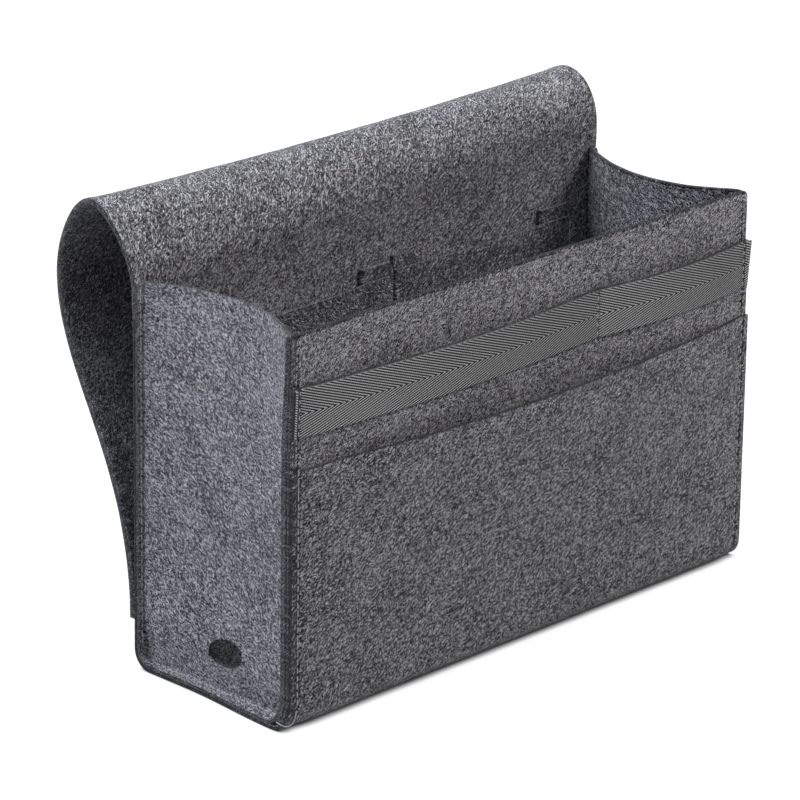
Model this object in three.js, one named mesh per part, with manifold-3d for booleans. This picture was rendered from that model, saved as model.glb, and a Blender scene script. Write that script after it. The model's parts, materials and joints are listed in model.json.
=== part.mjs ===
// Felt bedside caddy: one felt strip makes the low front pocket, the bottom, the back and the tuck flap.
// Two end panels with turned-out margins close the sides, and pockets are sewn to the front and the back.
// Millimetres. X runs along the caddy, Y from front to back, Z up from the surface it stands on.
import * as THREE from 'three';
import { mergeVertices } from 'three/addons/utils/BufferGeometryUtils.js';
import Module from 'manifold-3d';

const wasm = await Module();
wasm.setup();

// Body sizes
const bodyLength = 330;
const bodyDepth = 113.4;
const bodyHeight = 202.5;
const feltThickness = 2.4;
const bottomFoldRadius = 10;
const seamMargin = 5.6;

// Clearances
const layerGap = 0.1;
const creaseGap = 0.3;
const flapRestGap = 2.3;
const panelFootClearance = 1;

// Tuck flap, seen from the end: it springs from the back, rolls over a crest and hangs behind
const crestSpringHeight = 215;
const crestHeight = 241.5;
const crestSetback = 21.5;
const flapReach = 57;
const flapWaistHeight = 194;
const flapTipHeight = 26;

// Roundness of the flap's curves, as shares of the run or the drop that each curve spans
const crestTopShare = 0.44;
const crestRearShare = 0.49;
const tailTopShare = 0.32;
const tailTipDropShare = 0.53;

// Front pockets and trim
const lowPocketHeight = 135.5;
const lowPocketBow = 12.5;
const lowPocketFullness = 1.1;
const lowPocketFlare = 1.3;
const midPocketHeight = 176;
const midPocketDivide = 48.5;
const midPocketWideBow = 7;
const midPocketNarrowBow = 5.5;
const midPocketFullness = 1.5;
const midPocketFlare = 2;
const webbingWidth = 25;
const webbingThickness = 1.2;

// End panels
const endPanelBow = 12;
const endPanelFullness = 1;
const endPanelFlare = 2;
const cableHoleWidth = 24;
const cableHoleHeight = 15;
const cableHoleFromFront = 51.8;
const cableHoleAboveFloor = 25;
const cableHoleTilt = -12;

// Pleated pockets on the inside of the back
const innerFelt = 2;
const innerPocketBottom = 48;
const innerPocketTop = 168.5;
const pleatTop = 173;
const pleatWidth = 18;
const innerPocketDivide = 10;
const innerPocketInset = 21;
const innerPocketWideBow = 4;
const innerPocketNarrowBow = 2;
const innerPocketFullness = 0.6;
const innerPocketFlare = 2;
const innerSeamGap = 0.5;
const innerPleatStart = 2;
const innerTabWidth = 3;

// Seam thread
const threadWidth = 0.7;
const threadHeight = 0.5;
const stitchInset = 4.2;
const flatSeamWidth = 6.5;
const innerStitchInset = 3;
const threadEndMargin = 2;
const divideSeamOverlap = 18;

// Positions that follow from the sizes; webbing that reaches down behind the low pocket takes room there
const halfLength = bodyLength / 2;
const foldInside = bottomFoldRadius - feltThickness;
const backInside = bodyDepth - feltThickness;
const layerPitch = feltThickness + layerGap;
const innerPocketEnd = halfLength - innerPocketInset;
const webbingFoot = midPocketHeight - webbingWidth;
const webbingTucked = webbingFoot < lowPocketHeight ? webbingThickness + layerGap : 0;
const midPocketFace = layerPitch + webbingTucked;
const frontPanelFace = midPocketFace + layerPitch;
const marginFront = frontPanelFace + layerPitch;
const marginBottom = layerPitch;
const marginBack = bodyDepth - layerPitch;
const marginRadius = bottomFoldRadius - layerPitch;
const panelFoot = bottomFoldRadius + panelFootClearance;
const seatGap = layerGap / 2;
const flatSeam = halfLength - flatSeamWidth;
const stitchX = halfLength - stitchInset;

// Materials
const feltGrey = new THREE.MeshStandardMaterial({ color: 0x53545a, roughness: 0.95, metalness: 0 });
const webbingGrey = new THREE.MeshStandardMaterial({ color: 0x4b504d, roughness: 0.7, metalness: 0 });
const threadGrey = new THREE.MeshStandardMaterial({ color: 0x77787c, roughness: 0.6, metalness: 0 });

const caddy = new THREE.Group();
caddy.name = 'bedside_caddy';

function addPiece(name, geometry, material) {
  const piece = new THREE.Mesh(geometry, material.clone());
  piece.name = name;
  caddy.add(piece);
}

// Solids for cutting and joining
function toSolid(geometry) {
  const bare = geometry.clone();
  bare.deleteAttribute('normal');
  bare.deleteAttribute('uv');
  const merged = mergeVertices(bare, 1e-4);
  return new wasm.Manifold(new wasm.Mesh({
    numProp: 3,
    vertProperties: Float32Array.from(merged.attributes.position.array),
    triVerts: Uint32Array.from(merged.index.array),
  }));
}

function toGeometry(solid) {
  const mesh = solid.getMesh();
  const geometry = new THREE.BufferGeometry();
  geometry.setAttribute('position', new THREE.BufferAttribute(Float32Array.from(mesh.vertProperties), 3));
  geometry.setIndex(Array.from(mesh.triVerts));
  geometry.computeVertexNormals();
  return geometry;
}

// Evenly spaced values from one to the other, both included
function spaced(from, to, steps) {
  const values = [];
  for (let step = 0; step <= steps; step += 1) {
    values.push(from + ((to - from) * step) / steps);
  }
  return values;
}

// A flat outline drawn in Y and Z, run along X between two stations
function alongX(outline, fromX, toX) {
  const geometry = new THREE.ExtrudeGeometry(new THREE.Shape(outline), {
    depth: toX - fromX,
    bevelEnabled: false,
  });
  const axes = new THREE.Matrix4().makeBasis(
    new THREE.Vector3(0, 1, 0),
    new THREE.Vector3(0, 0, 1),
    new THREE.Vector3(1, 0, 0),
  );
  geometry.applyMatrix4(axes);
  geometry.translate(fromX, 0, 0);
  return geometry;
}

// Points on a curve between two lengths along it, each with the direction the curve runs there
function curveStations(curve, fromLength, toLength, steps) {
  const whole = curve.getLength();
  return spaced(fromLength / whole, toLength / whole, steps).map((share) => ({
    point: curve.getPoint(share),
    run: curve.getTangent(share),
  }));
}

// The sheet lying on the right-hand side of a run of stations, as a closed outline
function sheetOutline(stations, thickness) {
  const near = stations.map(({ point }) => point);
  const far = stations.map(({ point, run }) => new THREE.Vector2(
    point.x + thickness * run.y,
    point.y - thickness * run.x,
  ));
  return [...near, ...far.reverse()];
}

function arcPoints(centreY, centreZ, radius, fromAngle, toAngle, steps) {
  return spaced(fromAngle, toAngle, steps).map((angle) => new THREE.Vector2(
    centreY + radius * Math.cos(angle),
    centreZ + radius * Math.sin(angle),
  ));
}

// A closed soft sheet from a rule that places both of its skins
function softSheet(columns, rows, skin) {
  const positions = [];
  const index = [];
  const across = columns + 1;
  const perSkin = across * (rows + 1);
  for (const side of [0, 1]) {
    for (let row = 0; row <= rows; row += 1) {
      for (let column = 0; column <= columns; column += 1) {
        positions.push(...skin(column, row, side));
      }
    }
  }
  const at = (side, row, column) => side * perSkin + row * across + column;
  const quad = (a, b, c, d) => index.push(a, b, c, a, c, d);
  for (let row = 0; row < rows; row += 1) {
    for (let column = 0; column < columns; column += 1) {
      quad(at(0, row, column), at(0, row, column + 1), at(0, row + 1, column + 1), at(0, row + 1, column));
      quad(at(1, row, column), at(1, row + 1, column), at(1, row + 1, column + 1), at(1, row, column + 1));
    }
  }
  for (let column = 0; column < columns; column += 1) {
    quad(at(0, 0, column), at(1, 0, column), at(1, 0, column + 1), at(0, 0, column + 1));
    quad(at(0, rows, column), at(0, rows, column + 1), at(1, rows, column + 1), at(1, rows, column));
  }
  for (let row = 0; row < rows; row += 1) {
    quad(at(0, row, 0), at(0, row + 1, 0), at(1, row + 1, 0), at(1, row, 0));
    quad(at(0, row, columns), at(1, row, columns), at(1, row + 1, columns), at(0, row + 1, columns));
  }
  const geometry = new THREE.BufferGeometry();
  geometry.setAttribute('position', new THREE.Float32BufferAttribute(positions, 3));
  geometry.setIndex(index);
  geometry.computeVertexNormals();
  return geometry;
}

function mirrored(geometry) {
  const copy = geometry.clone();
  copy.scale(-1, 1, 1);
  const index = copy.index.array;
  for (let corner = 0; corner < index.length; corner += 3) {
    const kept = index[corner + 1];
    index[corner + 1] = index[corner + 2];
    index[corner + 2] = kept;
  }
  copy.computeVertexNormals();
  return copy;
}

// How far a sewn-down sheet stands off between two seams: nothing at the seams, all of it half way
function bowBetween(x, fromX, toX, fullness) {
  const across = (2 * x - fromX - toX) / (toX - fromX);
  return Math.max(0, 1 - across * across) ** fullness;
}

// Low front pocket: its felt turns under at the bottom and its mouth gapes
function lowPocketBowAt(x, z) {
  const rise = Math.max(0, (z - bottomFoldRadius) / (lowPocketHeight - bottomFoldRadius));
  return lowPocketBow * bowBetween(x, -flatSeam, flatSeam, lowPocketFullness) * rise ** lowPocketFlare;
}

function lowPocket() {
  const foldSteps = 4;
  const wallSteps = 7;
  const lengthSteps = 26;
  const stations = [-halfLength, ...spaced(-flatSeam, flatSeam, lengthSteps), halfLength];
  const heights = spaced(bottomFoldRadius, lowPocketHeight, wallSteps);
  return softSheet(stations.length - 1, foldSteps + wallSteps, (column, row, side) => {
    const x = stations[column];
    const inset = side * feltThickness;
    if (row < foldSteps) {
      const angle = Math.PI * (1.5 - (0.5 * row) / foldSteps);
      const radius = bottomFoldRadius - inset;
      return [
        x,
        bottomFoldRadius + radius * Math.cos(angle),
        bottomFoldRadius + radius * Math.sin(angle),
      ];
    }
    const z = heights[row - foldSteps];
    return [x, inset - lowPocketBowAt(x, z), z];
  });
}

// Middle pocket, divided by a seam into a wide and a narrow part
const wideEdge = midPocketDivide - threadWidth;
const narrowEdge = midPocketDivide + threadWidth;
const wideSteps = 20;
const narrowSteps = 12;
const midStations = [
  -halfLength,
  ...spaced(-flatSeam, wideEdge, wideSteps),
  ...spaced(narrowEdge, flatSeam, narrowSteps),
  halfLength,
];

const webbingSteps = 2;
const belowWebbingSteps = 5;
const webbingHeights = spaced(webbingFoot, midPocketHeight, webbingSteps);
const midHeights = [...spaced(panelFoot, webbingFoot, belowWebbingSteps).slice(0, -1), ...webbingHeights];

function midPocketBowAt(x, z) {
  const rise = Math.max(0, (z - panelFoot) / (midPocketHeight - panelFoot));
  const wide = midPocketWideBow * bowBetween(x, -flatSeam, wideEdge, midPocketFullness);
  const narrow = midPocketNarrowBow * bowBetween(x, narrowEdge, flatSeam, midPocketFullness);
  return (wide + narrow) * rise ** midPocketFlare;
}

function midPocket() {
  return softSheet(midStations.length - 1, midHeights.length - 1, (column, row, side) => {
    const x = midStations[column];
    const z = midHeights[row];
    return [x, midPocketFace + side * feltThickness - midPocketBowAt(x, z), z];
  });
}

// Webbing trim along the top of the middle pocket
function webbing() {
  const back = midPocketFace - seatGap;
  return softSheet(midStations.length - 1, webbingHeights.length - 1, (column, row, side) => {
    const x = midStations[column];
    const z = webbingHeights[row];
    return [x, back - (1 - side) * webbingThickness - midPocketBowAt(x, z), z];
  });
}

// Front panel behind the pockets
function frontPanel() {
  const panel = new THREE.BoxGeometry(bodyLength, feltThickness, bodyHeight - panelFoot);
  panel.translate(0, frontPanelFace + feltThickness / 2, (bodyHeight + panelFoot) / 2);
  return panel;
}

function bottomPanel() {
  const width = bodyDepth - 2 * bottomFoldRadius - 2 * creaseGap;
  const panel = new THREE.BoxGeometry(bodyLength, width, feltThickness);
  panel.translate(0, bodyDepth / 2, feltThickness / 2);
  return panel;
}

// Line of the flap on the face that turns from the inside of the back to the top of the crest
function flapLine() {
  const apexY = backInside + crestSetback;
  const waistY = backInside + flapReach;
  const tipY = bodyDepth + flapRestGap + feltThickness;
  const rearDrop = crestHeight - flapWaistHeight;
  const rearRun = waistY - apexY;
  const tailDrop = flapWaistHeight - flapTipHeight;
  const line = new THREE.CurvePath();
  line.add(new THREE.EllipseCurve(
    apexY, crestSpringHeight, crestSetback, crestHeight - crestSpringHeight, Math.PI, Math.PI / 2, true,
  ));
  line.add(new THREE.CubicBezierCurve(
    new THREE.Vector2(apexY, crestHeight),
    new THREE.Vector2(apexY + crestTopShare * rearRun, crestHeight),
    new THREE.Vector2(waistY, crestHeight - crestRearShare * rearDrop),
    new THREE.Vector2(waistY, flapWaistHeight),
  ));
  line.add(new THREE.CubicBezierCurve(
    new THREE.Vector2(waistY, flapWaistHeight),
    new THREE.Vector2(waistY, flapWaistHeight - tailTopShare * tailDrop),
    new THREE.Vector2(tipY, flapTipHeight + tailTipDropShare * tailDrop),
    new THREE.Vector2(tipY, flapTipHeight),
  ));
  return line;
}

// The flap bends at two rolls, half way round the front and the rear of its crest
const flap = flapLine();
const flapLengths = flap.getCurveLengths();
const frontRoll = flapLengths[0] / 2;
const rearRoll = (flapLengths[0] + flapLengths[1]) / 2;
const flapEnd = flapLengths[2];

function backPanel() {
  const fold = new THREE.EllipseCurve(
    bodyDepth - bottomFoldRadius, bottomFoldRadius, foldInside, foldInside, -Math.PI / 2, 0,
  );
  const roundSteps = 6;
  const stations = [
    ...curveStations(fold, 0, fold.getLength(), roundSteps),
    ...curveStations(flap, 0, frontRoll - creaseGap / 2, roundSteps),
  ];
  return alongX(sheetOutline(stations, feltThickness), -halfLength, halfLength);
}

function flapCrest() {
  const crestSteps = 14;
  const stations = curveStations(flap, frontRoll + creaseGap / 2, rearRoll - creaseGap / 2, crestSteps);
  return alongX(sheetOutline(stations, feltThickness), -halfLength, halfLength);
}

function flapTail() {
  const tailSteps = 26;
  const stations = curveStations(flap, rearRoll + creaseGap / 2, flapEnd, tailSteps);
  return alongX(sheetOutline(stations, feltThickness), -halfLength, halfLength);
}

// End panel: a web that bows in at the top, with its margins turned out on three sides
function endMarginLine(inset) {
  const cornerSteps = 5;
  const radius = marginRadius - inset;
  const frontCentre = marginFront + marginRadius;
  const backCentre = marginBack - marginRadius;
  const lowCentre = marginBottom + marginRadius;
  return [
    new THREE.Vector2(marginFront + inset, bodyHeight),
    ...arcPoints(frontCentre, lowCentre, radius, Math.PI, 1.5 * Math.PI, cornerSteps),
    ...arcPoints(backCentre, lowCentre, radius, -0.5 * Math.PI, 0, cornerSteps),
    new THREE.Vector2(marginBack - inset, bodyHeight),
  ];
}

function leftEndPanel() {
  const webOutside = -halfLength + seamMargin;
  const webInside = webOutside + feltThickness;
  const marginOutline = [...endMarginLine(0), ...endMarginLine(feltThickness).reverse()];
  const margin = alongX(marginOutline, -halfLength, webInside);
  const depthSteps = 16;
  const heightSteps = 9;
  const depths = spaced(marginBack, marginFront, depthSteps);
  const heights = spaced(marginBottom, bodyHeight, heightSteps);
  const web = softSheet(depthSteps, heightSteps, (column, row, side) => {
    const rise = (heights[row] - marginBottom) / (bodyHeight - marginBottom);
    const across = bowBetween(depths[column], marginFront, marginBack, endPanelFullness);
    const bow = endPanelBow * across * rise ** endPanelFlare;
    return [webOutside + side * feltThickness + bow, depths[column], heights[row]];
  });
  const inside = alongX(endMarginLine(feltThickness / 2), -halfLength, webInside + endPanelBow);
  const hole = cableHole(-halfLength, webInside + endPanelBow);
  const panel = toSolid(margin).add(toSolid(web).intersect(toSolid(inside)));
  return toGeometry(panel.subtract(toSolid(hole)));
}

function cableHole(fromX, toX) {
  const outline = new THREE.EllipseCurve(
    cableHoleFromFront, cableHoleAboveFloor, cableHoleWidth / 2, cableHoleHeight / 2, 0, 2 * Math.PI,
    false, THREE.MathUtils.degToRad(cableHoleTilt),
  );
  const rimSteps = 32;
  return alongX(outline.getPoints(rimSteps).slice(0, -1), fromX, toX);
}

// Inner pocket: a strip that folds back on itself at both sides, so its front can stand off the back.
// Its line is drawn from the seam between the two pockets outward, as distance and depth.
const innerPitch = innerFelt + 2 * layerGap;
const innerFirst = backInside - layerGap - innerFelt / 2;
const innerSecond = innerFirst - innerPitch;
const innerThird = innerSecond - innerPitch;

function foldBack(along, fromDepth, toDepth, bulge) {
  const foldSteps = 4;
  return spaced(0, Math.PI, foldSteps).map((angle) => new THREE.Vector2(
    along + bulge * (innerPitch / 2) * Math.sin(angle),
    (fromDepth + toDepth) / 2 + ((fromDepth - toDepth) / 2) * Math.cos(angle),
  ));
}

function innerPocketLine(far) {
  const faceSteps = 16;
  const faceFrom = innerPleatStart + innerPitch / 2;
  const faceTo = far - innerPitch / 2;
  const face = spaced(faceFrom, faceTo, faceSteps).slice(1, -1);
  return [
    new THREE.Vector2(innerSeamGap, innerFirst),
    ...foldBack(innerPleatStart + pleatWidth, innerFirst, innerSecond, 1),
    ...foldBack(faceFrom, innerSecond, innerThird, -1),
    ...face.map((along) => new THREE.Vector2(along, innerThird)),
    ...foldBack(faceTo, innerThird, innerSecond, 1),
    ...foldBack(far - pleatWidth, innerSecond, innerFirst, -1),
    new THREE.Vector2(far + innerTabWidth, innerFirst),
  ];
}

function innerPocket(outward, gape) {
  const far = innerPocketEnd - outward * innerPocketDivide;
  const line = innerPocketLine(far);
  const columns = line.length - 1;
  const openFrom = innerPleatStart + pleatWidth + innerPitch;
  const openTo = far - pleatWidth - innerPitch;
  const rows = 5;
  return softSheet(columns, rows, (column, row, side) => {
    const point = line[column];
    const before = line[Math.max(column - 1, 0)];
    const after = line[Math.min(column + 1, columns)];
    const run = after.clone().sub(before).normalize();
    const reach = (0.5 - side) * innerFelt * outward;
    const rise = row / rows;
    const forward = (innerFirst - point.y) / (innerFirst - innerThird);
    const open = bowBetween(point.x, openFrom, openTo, innerPocketFullness);
    const closed = (innerFirst - innerThird) * (1 - rise) ** innerPocketFlare;
    const top = pleatTop - (pleatTop - innerPocketTop) * Math.max(0, 2 * forward - 1);
    return [
      innerPocketDivide + outward * (point.x + reach * run.y),
      point.y - reach * run.x + open * (closed - gape * rise ** innerPocketFlare),
      innerPocketBottom + (top - innerPocketBottom) * rise,
    ];
  });
}

// Seam threads, one unbroken rod for each row of stitches, stepping over the layers it crosses
function steppedThread(x, foot, levels) {
  const felt = [new THREE.Vector2(levels[0].face, foot)];
  const open = [new THREE.Vector2(levels[0].face - threadHeight, foot)];
  levels.forEach((level, number) => {
    const next = levels[number + 1];
    const way = next === undefined ? 0 : Math.sign(next.face - level.face);
    const z = level.top + way * seatGap;
    felt.push(new THREE.Vector2(level.face, z));
    open.push(new THREE.Vector2(level.face - threadHeight, z + way * threadHeight));
    if (next !== undefined) {
      felt.push(new THREE.Vector2(next.face, z));
      open.push(new THREE.Vector2(next.face - threadHeight, z + way * threadHeight));
    }
  });
  return alongX([...open, ...felt.reverse()], x - threadWidth / 2, x + threadWidth / 2);
}

const threadFoot = bottomFoldRadius + threadEndMargin;
const threadTop = bodyHeight - threadEndMargin;
const midPocketLayers = [
  { face: midPocketFace - seatGap, foot: panelFoot, top: midPocketHeight },
  { face: midPocketFace - webbingThickness - 2 * seatGap, foot: webbingFoot, top: midPocketHeight },
];
const frontLayers = [
  { face: -seatGap, foot: bottomFoldRadius, top: lowPocketHeight },
  ...midPocketLayers,
  { face: frontPanelFace - seatGap, foot: panelFoot, top: bodyHeight },
];

// The levels that a thread climbs through, each on the layer that is outermost there
function outermostLevels(layers, foot, top) {
  const edges = layers.flatMap((layer) => [layer.foot, layer.top]);
  const breaks = [foot, ...edges.filter((z) => z > foot && z < top).sort((a, b) => a - b), top];
  const levels = [];
  breaks.slice(1).forEach((z, number) => {
    const middle = (breaks[number] + z) / 2;
    const here = layers.filter((layer) => layer.foot < middle && middle < layer.top);
    const face = Math.min(...here.map((layer) => layer.face));
    if (levels.length > 0 && levels.at(-1).face === face) {
      levels.pop();
    }
    levels.push({ face, top: z });
  });
  return levels;
}

function frontSeamThread(x) {
  return steppedThread(x, threadFoot, outermostLevels(frontLayers, threadFoot, threadTop));
}

function divideThread() {
  const foot = lowPocketHeight - divideSeamOverlap;
  const top = midPocketHeight - threadEndMargin;
  return steppedThread(midPocketDivide, foot, outermostLevels(midPocketLayers, foot, top));
}

function straightThread(x, faceY, foot, top) {
  const rod = new THREE.BoxGeometry(threadWidth, threadHeight, top - foot);
  rod.translate(x, faceY, (foot + top) / 2);
  return rod;
}

// The back and bottom seams show on the inner side of the end panel's turned-out margins
function backSeamThread(x) {
  const onMargin = marginBack - feltThickness - seatGap;
  return straightThread(x, onMargin - threadHeight / 2, threadFoot, threadTop);
}

function bottomSeamThread(x) {
  const rod = new THREE.BoxGeometry(threadWidth, marginBack - marginFront - 2 * marginRadius, threadHeight);
  const onMargin = marginBottom + feltThickness + seatGap;
  rod.translate(x, (marginFront + marginBack) / 2, onMargin + threadHeight / 2);
  return rod;
}

function innerEdgeThread(x) {
  const faceY = innerThird - innerFelt / 2 - seatGap - threadHeight / 2;
  return straightThread(x, faceY, innerPocketBottom + threadEndMargin, innerPocketTop - threadEndMargin);
}

const endPanel = leftEndPanel();
const innerStitchX = innerPocketEnd - innerStitchInset;

addPiece('low_pocket', lowPocket(), feltGrey);
addPiece('bottom_panel', bottomPanel(), feltGrey);
addPiece('back_panel', backPanel(), feltGrey);
addPiece('flap_crest', flapCrest(), feltGrey);
addPiece('flap_tail', flapTail(), feltGrey);
addPiece('front_panel', frontPanel(), feltGrey);
addPiece('mid_pocket', midPocket(), feltGrey);
addPiece('webbing_trim', webbing(), webbingGrey);
addPiece('end_panel_left', endPanel, feltGrey);
addPiece('end_panel_right', mirrored(endPanel), feltGrey);
addPiece('inner_pocket_left', innerPocket(-1, innerPocketWideBow), feltGrey);
addPiece('inner_pocket_right', innerPocket(1, innerPocketNarrowBow), feltGrey);
addPiece('front_seam_thread_left', frontSeamThread(-stitchX), threadGrey);
addPiece('front_seam_thread_right', frontSeamThread(stitchX), threadGrey);
addPiece('back_seam_thread_left', backSeamThread(-stitchX), threadGrey);
addPiece('back_seam_thread_right', backSeamThread(stitchX), threadGrey);
addPiece('bottom_seam_thread_left', bottomSeamThread(-stitchX), threadGrey);
addPiece('bottom_seam_thread_right', bottomSeamThread(stitchX), threadGrey);
addPiece('pocket_divide_thread', divideThread(), threadGrey);
addPiece('inner_edge_thread_left', innerEdgeThread(-innerStitchX), threadGrey);
addPiece('inner_edge_thread_right', innerEdgeThread(innerStitchX), threadGrey);

// The origin is under the middle of the whole caddy, on the surface it stands on
const extent = new THREE.Box3().setFromObject(caddy);
const middle = extent.getCenter(new THREE.Vector3());
caddy.children.forEach((piece) => piece.geometry.translate(-middle.x, -middle.y, -extent.min.z));

export default caddy;
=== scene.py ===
"""Looks of a grey felt bedside caddy with layered pockets, herringbone webbing and a tuck flap."""
import json
import math

import bpy
import numpy as np
from mathutils import Matrix, Vector, noise


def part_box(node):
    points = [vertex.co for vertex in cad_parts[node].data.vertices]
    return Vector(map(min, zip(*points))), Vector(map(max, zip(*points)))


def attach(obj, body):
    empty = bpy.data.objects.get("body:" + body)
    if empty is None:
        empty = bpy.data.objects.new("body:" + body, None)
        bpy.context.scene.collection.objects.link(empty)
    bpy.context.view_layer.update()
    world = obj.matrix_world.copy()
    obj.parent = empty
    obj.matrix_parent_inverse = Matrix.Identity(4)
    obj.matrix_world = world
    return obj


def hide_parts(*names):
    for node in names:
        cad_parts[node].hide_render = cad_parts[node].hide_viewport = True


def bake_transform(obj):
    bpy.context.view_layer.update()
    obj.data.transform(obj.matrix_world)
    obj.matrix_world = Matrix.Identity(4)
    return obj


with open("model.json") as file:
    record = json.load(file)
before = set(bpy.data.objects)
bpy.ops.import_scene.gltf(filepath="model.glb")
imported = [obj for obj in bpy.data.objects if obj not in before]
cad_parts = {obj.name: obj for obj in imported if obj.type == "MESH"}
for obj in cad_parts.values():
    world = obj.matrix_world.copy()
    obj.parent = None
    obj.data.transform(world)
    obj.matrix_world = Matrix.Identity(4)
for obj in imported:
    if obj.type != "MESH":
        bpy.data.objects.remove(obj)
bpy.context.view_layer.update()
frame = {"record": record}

MM = 0.001
SIDES = ((-1, "left"), (1, "right"))

# Shifts on the flat cloth, in metres, of the other skin, the end panels and the inner pockets
OTHER_SIDE = (0.61, 0.37)
END_SHIFT = 0.3
POCKET_SHIFT = 0.9


def middle_x(node):
    low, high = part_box(node)
    return (low.x + high.x) / 2


# Places and sizes read from the frame
panel_low, panel_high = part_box("front_panel")
half_length = panel_high.x
rim_height = panel_high.z
front_y = panel_low.y
felt = panel_high.y - panel_low.y
panel_foot = panel_low.z
low_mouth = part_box("low_pocket")[1].z
mid_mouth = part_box("mid_pocket")[1].z
tape_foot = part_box("webbing_trim")[0].z
crest_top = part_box("flap_crest")[1].z
flap_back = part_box("flap_tail")[1].y
flap_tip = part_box("flap_tail")[0].z
inner_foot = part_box("inner_pocket_left")[0].z
divide_x = middle_x("pocket_divide_thread")
stitch_x = middle_x("front_seam_thread_right")
inner_stitch_x = middle_x("inner_edge_thread_right")
back_y = {mount["name"]: mount["pos_m"] for mount in frame["record"]["mounts"]}["bed_side"][1]
back_inside = back_y - felt

# Felt in the seams is pressed thinner than elsewhere
panel_pressed = 2.3 * MM
margin_pressed = 2.0 * MM
back_pressed = 1.9 * MM
pocket_pressed = 1.7 * MM
air = 0.05 * MM
seam_hold = 12 * MM
seam_flat = 1.5 * MM
groove_depth = 0.55 * MM
groove_width = 0.8 * MM

# Cut edges and the unevenness of felt, as a height and a width
cut_share = 0.98
cut_bulge = 0.08 * MM
slow_wave = (0.22 * MM, 26 * MM)
quick_wave = (0.10 * MM, 9 * MM)

# Steps of the sheets' grids
felt_step = 3 * MM
strip_step = 2.6 * MM
upright_step = 2.8 * MM
tape_step = 0.75 * MM
tape_row_step = 0.4 * MM
pocket_row_share = 0.022

# Folds and pockets
layer = 2.5 * MM
fold_radius = 10.5 * MM
fold_middle = fold_radius - felt / 2
fold_quarter = fold_middle * math.pi / 2
strip_front = front_y - 2 * layer
flat_seam = half_length - 6.5 * MM
sheet_foot = 4.5 * MM
corner_lean = 2.4 * MM
corner_lean_end = -100 * MM
corner_lean_depth = 30 * MM
corner_round = 3 * MM
corner_round_fade = 14 * MM
mouth_dip = 1.6 * MM
mouth_dip_width = (4 * MM, 30 * MM)
mouth_dip_height = 50 * MM
foot_spread = 4 * MM
foot_spread_width = 10 * MM
foot_spread_height = 16 * MM
foot_spread_depth = (10 * MM, 75 * MM)
low_bow = 12.5 * MM
mid_wide_bow = 7 * MM
mid_narrow_bow = 5.5 * MM

# Tuck flap
flap_waist = 194 * MM
flap_rest_gap = 0.3 * MM
flap_cut_share = 0.95
flap_edge_fluff = 0.35
fluff_width = 7 * MM
fluff_flat = 1.6 * MM
flap_blend = 8 * MM
seam_blend = 4 * MM
crest_sag = 2.7 * MM
crest_sag_run = 70 * MM
rear_handles = (0.44, 0.49)
tail_handles = (0.31, 0.50)
crest_right = {"spring": 215 * MM, "rise": 14.6 * MM, "setback": 21.5 * MM, "round": 11.9 * MM, "drop": 0}
crest_left = {"spring": 197 * MM, "rise": 16 * MM, "setback": 31.8 * MM, "round": 14 * MM, "drop": 3.8 * MM}

# End panels
end_bow = {-1: 14.8 * MM, 1: 17.5 * MM}
front_margin = 3.9 * MM
back_margin = 3.0 * MM
margin_hold = (-0.2 * MM, 1.5 * MM)
corner_flare = 2.8 * MM
corner_flare_depth = 28 * MM
corner_flare_foot = 110 * MM
foot_inset = 3.5 * MM
foot_inset_rise = 24 * MM
margin_radius = fold_radius - back_pressed - margin_pressed / 2 - 4 * air
crease_radius = 1.3 * MM
hole_width = 24 * MM
hole_height = 15 * MM
hole_centre = (strip_front + 51.8 * MM, 25 * MM)
hole_tilt = math.radians(-12)
hole_border = 5 * MM

# Pleated pockets inside the back
inner_felt = 1.2 * MM
inner_pitch = 1.4 * MM
inner_divide = 10 * MM
inner_end = 141.5 * MM
inner_top = {-1: 167 * MM, 1: 169.5 * MM}
pleat_rise = 7 * MM
pleat_width = 20 * MM
pleat_start = 0.9 * MM
pocket_start = 0.5 * MM
pocket_tab = 3 * MM
pocket_gape = {-1: 4 * MM, 1: 2 * MM}
pleat_first = back_inside - 0.1 * MM - inner_felt / 2
pleat_second = pleat_first - inner_pitch
pleat_third = pleat_first - 2 * inner_pitch

# Webbing and thread
tape_thickness = 1.2 * MM
tape_width = mid_mouth - tape_foot
tape_overhang = 0.5 * MM
tape_askew = 2.4 * MM
tape_end_lift = 0.7 * MM
tape_bulge = 0.1 * MM
rib_height = 0.22 * MM
rib_fade = 0.8 * MM
twill_pitch = 1.38 * MM
twill_slope = 0.36
thread_radius = 0.42 * MM
thread_flatness = 0.75
stitch_pitch = 4.3 * MM
stitch_gap = 0.12 * stitch_pitch
seam_end = 2 * MM
front_left_sink = 0.45
divide_seam_drop = 18 * MM


def between(x, start, end, fullness):
    """How far a sewn-down sheet stands off between two seams, from 0 at the seams to 1 half way."""
    across = (2 * x - start - end) / (end - start)
    return np.clip(1 - across * across, 0, 1) ** fullness


def ease(x, start, end):
    """A smooth step from 0 at start to 1 at end."""
    share = np.clip((x - start) / (end - start), 0, 1)
    return share * share * (3 - 2 * share)


def side_seam(x):
    """How tightly the side seams hold the cloth: 1 outside the stitches, 0 away from them."""
    return ease(np.abs(x), stitch_x - seam_hold, stitch_x - seam_flat)


def rounded_corner(x, z):
    """How far the front's upper corners are cut down to a small round."""
    past = np.clip(np.abs(x) - half_length + corner_round, 0, corner_round)
    drop = corner_round - np.sqrt(corner_round**2 - past**2)
    return drop * ease(z, rim_height - corner_round_fade, rim_height)


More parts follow.
